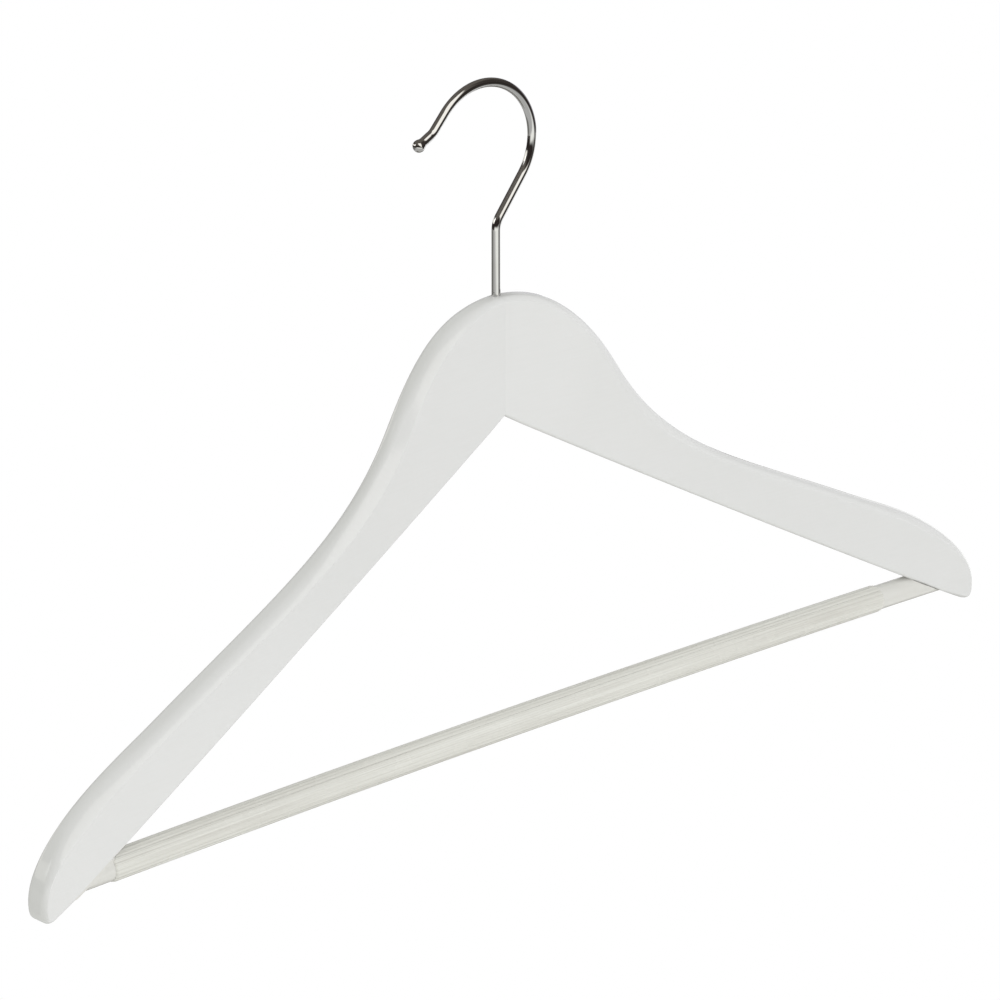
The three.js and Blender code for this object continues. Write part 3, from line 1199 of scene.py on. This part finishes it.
@dataclass(frozen=True)
class SoftLamp:
    """A square soft box that looks at the hanger, placed in degrees and metres from it.

    A bearing of 0 is straight in front and runs to the right. Cards show what the metal mirrors
    instead.
    """

    name: str
    bearing: float
    height: float
    distance: float
    size: float
    power: float
    colour: str

    def build(self) -> None:
        """Makes the lamp."""
        data = bpy.data.lights.new(self.name, "AREA")
        data.color = linear(self.colour)[:3]
        data.shape = "SQUARE"
        data.size = self.size
        data.energy = self.power
        lamp = bpy.data.objects.new(self.name, data)
        lamp.location = HANGER_MIDDLE + towards(self.bearing, self.height) * self.distance
        lamp.rotation_euler = (HANGER_MIDDLE - lamp.location).to_track_quat("-Z", "Y").to_euler()
        lamp.visible_glossy = False
        bpy.context.scene.collection.objects.link(lamp)


@dataclass(frozen=True)
class Card:
    """A curved card of the studio that only the metal and the lacquer's sheen mirror.

    The corners are bearing and height in degrees as seen from the hook: lower left, lower right,
    upper right, upper left. The edges at the sides and at the top and bottom fade over a share of
    the card.
    """

    name: str
    corners: tuple[Pair, ...]
    colour: str
    strength: float = 1.0
    fade: Pair = (0.0, 0.0)
    distance: float = 0.9
    steps: int = 24

    def spot(self, aim: Vector) -> Vector:
        """Finds the place of a direction on the card."""
        return HOOK_MIDDLE + towards(aim.x, aim.y) * self.distance

    def build(self) -> None:
        """Makes the card and its glowing material."""
        low_left, low_right, high_right, high_left = (Vector(corner) for corner in self.corners)
        shares = [i / self.steps for i in range(self.steps + 1)]
        rings = []
        for v in shares:
            aims = [
                low_left.lerp(low_right, u).lerp(high_left.lerp(high_right, u), v) for u in shares
            ]
            rings.append([(self.spot(aim), (u, v)) for aim, u in zip(aims, shares)])
        card = make_piece(self.name, rings, closed=False)
        card.data.materials.append(self.material())
        card.visible_camera = False
        card.visible_diffuse = False
        card.visible_transmission = False
        card.visible_shadow = False

    def material(self) -> Material:
        """Builds the glow, which turns clear towards the edges.

        Returns:
            The material.
        """
        material, tree = new_material(self.name)
        glow = {"Color": linear(self.colour), "Strength": self.strength}
        surface = add_node(tree, "ShaderNodeEmission", glow).outputs[0]
        split = add_node(tree, "ShaderNodeSeparateXYZ", {0: grain_place(tree)}).outputs
        middle = 0.5
        for axis, fade in zip(("X", "Y"), self.fade):
            if not fade:
                continue
            off = calc(tree, "ABSOLUTE", calc(tree, "SUBTRACT", split[axis], middle))
            edge = (middle, middle - fade)
            share = spread(tree, off, edge, interpolation_type="SMOOTHSTEP")
            clear = add_node(tree, "ShaderNodeBsdfTransparent").outputs[0]
            mixed = {0: share, 1: clear, 2: surface}
            surface = add_node(tree, "ShaderNodeMixShader", mixed).outputs[0]
        add_node(tree, "ShaderNodeOutputMaterial", {"Surface": surface})
        return material


class LevelCard(Card):
    """A level card, in metres: corners to the right and to the back, and a height as distance."""

    def spot(self, aim: Vector) -> Vector:
        """Finds the place of a corner or of a point between them."""
        return Vector((aim.x, aim.y, self.distance))


@dataclass
class Studio:
    """Pale floor, white surround, soft lamp, and the dark room and cards that show in the metal."""

    floor_height: float = -1.0
    floor_reach: float = 30.0
    floor_colour: str = "#F2F2F0"
    fibre: float = 3.0  # mm, size of the floor paper's flakes
    fibre_height: float = 0.05  # mm
    white_from: float = 0.35  # metres from under the hanger where the floor starts to turn white
    white_by: float = 0.75
    front_light: float = 0.88  # brightness of the surround as light, on its bright side
    back_light: float = 0.72  # and opposite
    light_from: Pair = (38.0, 0.0)  # bearing and height of the bright side
    light_colour: str = "#FEFFFA"
    lamp: SoftLamp = SoftLamp(
        "side_soft_box",
        bearing=24.0, height=23.0, distance=3.6, size=2.6, power=33.0, colour="#F8F7FF",
    )
    cards: tuple[Card, ...] = (
        Card("grey_floor", ((-180, -90), (180, -90), (180, -15), (-180, -15)), "#C4C4C2"),
        Card("dark_room", ((-180, -17), (180, -17), (180, 90), (-180, 90)), "#322C2A",
             distance=3.2),
        Card("dark_ceiling", ((-180, 16), (180, 16), (180, 94), (-180, 94)), "#6A655F",
             fade=(0.0, 0.2), distance=3.1),
        Card("black_flag", ((14, -4), (112, -10), (104, 56), (24, 78)), "#403B38",
             fade=SOFT_EDGE, distance=3.0),
        Card("grey_wall", ((70, -18), (180, -18), (178, 13), (84, 14)), "#B4B2B8",
             fade=(0.25, 0.3), distance=2.95),
        Card("shaded_floor", ((-200, -46), (-92, -46), (-100, -9), (-190, -9)), "#7C7C78",
             fade=SOFT_EDGE, distance=0.88),
        Card("shaded_corner", ((21, -40), (82, -40), (76, -7), (21, -7)), "#403D3A",
             fade=SOFT_EDGE, distance=0.86),
        Card("white_sheet", ((62, -52), (172, -64), (170, -10), (62, -13)), WHITE,
             strength=1.25, fade=(0.2, 0.12), distance=0.84),
        Card("bright_floor", ((-108, -17), (40, -36), (36, -12), (-90, 3)), "#F8F9F4",
             strength=1.25, fade=(0.3, 0.4), distance=0.82),
        Card("dark_backdrop", ((112, -54), (168, -54), (168, -17), (112, -17)), "#4A4643",
             fade=(0.3, 0.2), distance=0.8),
        # Grey card under the bar that only reflections see: painted shade on the underside of the
        # bar and sleeve, not a table.
        LevelCard("bar_underside_shade_card", ((-0.22, -0.06), (0.34, -0.06), (0.42, 0.22), (-0.12, 0.22)),
                  "#83807B", fade=(0.12, 0.2), distance=-0.33),
        Card("key_soft_box", ((-72, 61), (18, -15), (20, 68), (-70, 68)), "#FAF7F0",
             strength=1.4, fade=(0.14, 0.1), distance=2.8),
        Card("back_soft_box", ((-192, -8), (-100, 9), (-100, 31), (-186, 5)), "#FDFAF2",
             strength=1.2, fade=(0.2, 0.2), distance=2.8),
        Card("back_lamp", ((-126, 10), (-113, 12), (-113, 33), (-126, 30)), WHITE,
             strength=3.4, fade=SOFT_EDGE, distance=2.7),
    )

    def seen_directly(self, tree: Tree) -> Socket:
        """Tells rays from the camera, a mirror or glass from those that light the hanger.

        Args:
            tree: node tree to add to.

        Returns:
            1 for the first kind and 0 for the others.
        """
        path = add_node(tree, "ShaderNodeLightPath").outputs
        mirror = calc(tree, "MAXIMUM", path["Is Camera Ray"], path["Is Glossy Ray"])
        return calc(tree, "MAXIMUM", mirror, path["Is Transmission Ray"])

    def surround(self) -> None:
        """Makes the world: plain white to look at, and a broad soft light, brighter in front."""
        world = bpy.data.worlds.new("white_surround")
        bpy.context.scene.world = world
        world.use_nodes = True
        tree = world.node_tree
        tree.nodes.clear()
        way = add_node(tree, "ShaderNodeTexCoord").outputs["Generated"]
        ways = {0: way, 1: towards(*self.light_from)}
        dot = add_node(tree, "ShaderNodeVectorMath", ways, operation="DOT_PRODUCT")
        levels = (self.back_light, self.front_light)
        light = spread(tree, dot.outputs["Value"], (-1.0, 1.0), levels)
        seen = self.seen_directly(tree)
        strength = spread(tree, seen, (0.0, 1.0), (light, 1.0))
        colour = mix_colours(tree, seen, self.light_colour, WHITE)
        shader = add_node(tree, "ShaderNodeBackground", {"Color": colour, "Strength": strength})
        add_node(tree, "ShaderNodeOutputWorld", {"Surface": shader.outputs[0]})

    def floor(self) -> None:
        """Makes the floor: pale and shaded under the hanger, pure white further away."""
        sides = (-self.floor_reach, self.floor_reach)
        rings = [[(Vector((x, y, self.floor_height)), (x, y)) for x in sides] for y in sides]
        plane = make_piece("studio_floor", rings, closed=False)
        material, tree = new_material("white_paper_floor")
        place = add_node(tree, "ShaderNodeTexCoord").outputs["Object"]
        ends = {0: place, 1: (0.0, 0.0, self.floor_height)}
        away = add_node(tree, "ShaderNodeVectorMath", ends, operation="DISTANCE").outputs["Value"]
        whiter = spread(tree, away, (self.white_from, self.white_by))
        share = calc(tree, "MULTIPLY", whiter, self.seen_directly(tree))
        relief = bump(tree, noise(tree, place, self.fibre, detail=2.0), self.fibre_height)
        look = {"Color": linear(self.floor_colour), "Normal": relief}
        paper = add_node(tree, "ShaderNodeBsdfDiffuse", look).outputs[0]
        white = add_node(tree, "ShaderNodeEmission", {"Strength": 1.0}).outputs[0]
        mixed = add_node(tree, "ShaderNodeMixShader", {0: share, 1: paper, 2: white})
        add_node(tree, "ShaderNodeOutputMaterial", {"Surface": mixed.outputs[0]})
        plane.data.materials.append(material)

    def build(self) -> None:
        """Makes everything round the hanger."""
        bpy.context.scene.view_settings.view_transform = "Standard"
        self.surround()
        self.floor()
        self.lamp.build()
        for card in self.cards:
            card.build()


def dress(
    piece: Piece, node: str, body: Body, material: Material
) -> None:
    """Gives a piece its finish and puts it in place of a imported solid.

    Args:
        piece: the new piece.
        node: the solid that it stands for.
        body: the body that it moves with.
        material: the finish.
    """
    piece.data.materials.clear()
    piece.data.materials.append(material)
    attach(piece, body.value)
    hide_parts(node)
    log.info("%s: %d corners, stands for %s", piece.name, len(piece.data.vertices), node)


def main() -> None:
    """Builds the camera, the studio and the hanger."""
    logging.basicConfig(level=logging.INFO, format="%(name)s: %(message)s")
    PhotoCamera().build()
    Studio().build()
    layout = Layout()
    lacquer = WhiteLacquer().material()
    # The rod takes a darker, slightly warmer copy of the arms' lacquer: its darkness is painted
    # shade from the arms above the bar.
    shaded_bar_lacquer = WhiteLacquer("white_lacquer_on_rod_painted_shade", "#E4E3E0", "#DBDAD6").material()
    dress(Hook(layout).build(), "hook", Body.HOOK, ChromePlate().material())
    for side, node in ((Side.LEFT, "left_arm"), (Side.RIGHT, "right_arm")):
        dress(Arm(layout, side).build(), node, Body.FRAME, lacquer)
    dress(TrouserBar(layout).build(), "trouser_bar", Body.FRAME, shaded_bar_lacquer)
    sleeve = BarSleeve(layout).build()
    dress(sleeve, "bar_sleeve", Body.FRAME, ClearVinyl().material())


if __name__ == "__main__":
    main()
